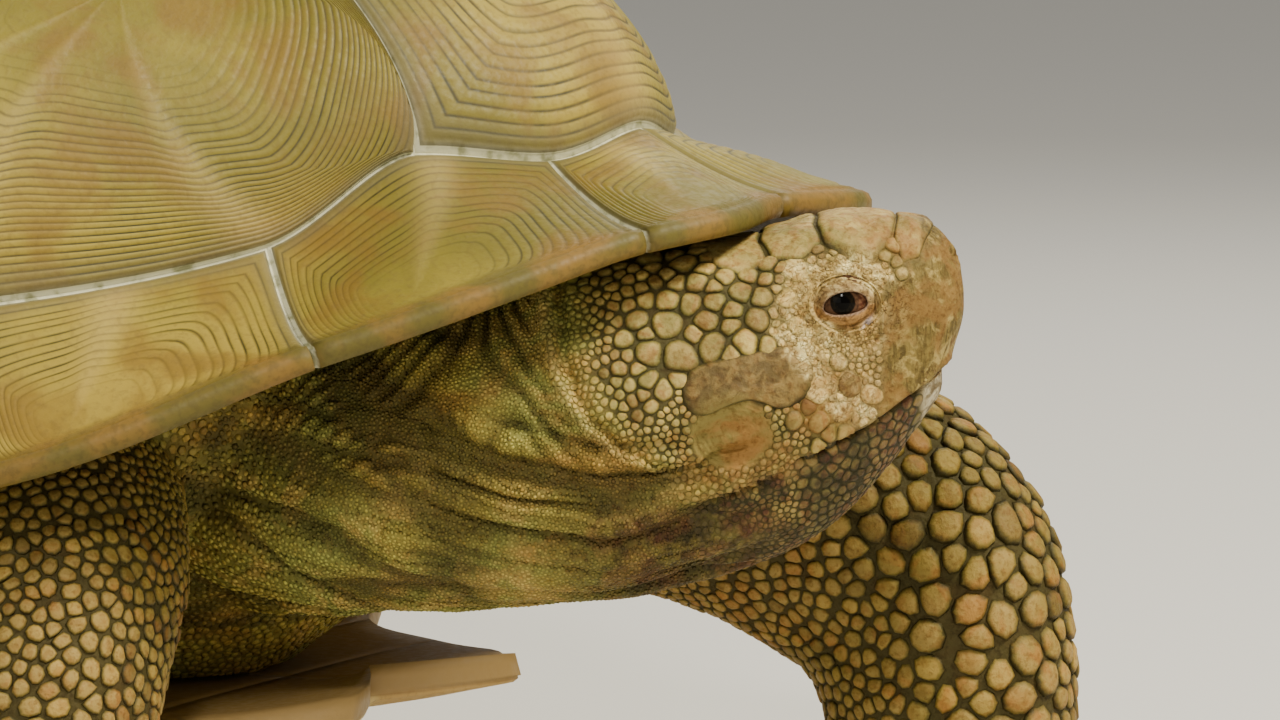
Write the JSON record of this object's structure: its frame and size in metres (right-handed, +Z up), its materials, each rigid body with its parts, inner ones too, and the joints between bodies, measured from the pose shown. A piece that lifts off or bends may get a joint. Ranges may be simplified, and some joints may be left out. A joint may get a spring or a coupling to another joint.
{
  "type": "sulcata tortoise",
  "caption": "Life-size still model of an adult sulcata (African spurred) tortoise walking, neck out and head turned to its left.",
  "frame": {"origin": "on the floor, under the middle of the whole animal's box", "axes": "+X towards the head, +Y to the animal's left, +Z up"},
  "size_m": [0.7394, 0.5268, 0.3777],
  "materials": {
    "shell_horn": "horn plates with growth rings, olive tan to yellow, satin",
    "plastron_horn": "paler horn plates, worn, satin",
    "skin": "grainy scaled skin, olive grey to ochre brown, matt",
    "head_skin": "scaled skin, tan with pale tubercles and dark grooves, matt",
    "eye": "wet dark brown eyeball",
    "claw": "dull brown horn"
  },
  "bodies": {
    "root": {"vertebral_1": "shell_horn", "vertebral_2": "shell_horn", "vertebral_3": "shell_horn", "vertebral_4": "shell_horn", "vertebral_5": "shell_horn", "pleural_left_1": "shell_horn", "pleural_left_2": "shell_horn", "pleural_left_3": "shell_horn", "pleural_left_4": "shell_horn", "marginal_left_1": "shell_horn", "marginal_left_2": "shell_horn", "marginal_left_3": "shell_horn", "marginal_left_4": "shell_horn", "marginal_left_5": "shell_horn", "marginal_left_6": "shell_horn", "marginal_left_7": "shell_horn", "marginal_left_8": "shell_horn", "marginal_left_9": "shell_horn", "marginal_left_10": "shell_horn", "marginal_left_11": "shell_horn", "pleural_right_1": "shell_horn", "pleural_right_2": "shell_horn", "pleural_right_3": "shell_horn", "pleural_right_4": "shell_horn", "marginal_right_1": "shell_horn", "marginal_right_2": "shell_horn", "marginal_right_3": "shell_horn", "marginal_right_4": "shell_horn", "marginal_right_5": "shell_horn", "marginal_right_6": "shell_horn", "marginal_right_7": "shell_horn", "marginal_right_8": "shell_horn", "marginal_right_9": "shell_horn", "marginal_right_10": "shell_horn", "marginal_right_11": "shell_horn", "supracaudal": "shell_horn", "gular_left": "plastron_horn", "humeral_left": "plastron_horn", "pectoral_left": "plastron_horn", "abdominal_left": "plastron_horn", "femoral_left": "plastron_horn", "anal_left": "plastron_horn", "gular_right": "plastron_horn", "humeral_right": "plastron_horn", "pectoral_right": "plastron_horn", "abdominal_right": "plastron_horn", "femoral_right": "plastron_horn", "anal_right": "plastron_horn", "head": "head_skin", "neck": "skin", "trunk": "skin", "tail": "skin", "foreleg_left": "skin", "foreleg_right": "skin", "hindleg_left": "skin", "hindleg_right": "skin", "eye_left": "eye", "eye_right": "eye"}
  },
  "joints": []
}
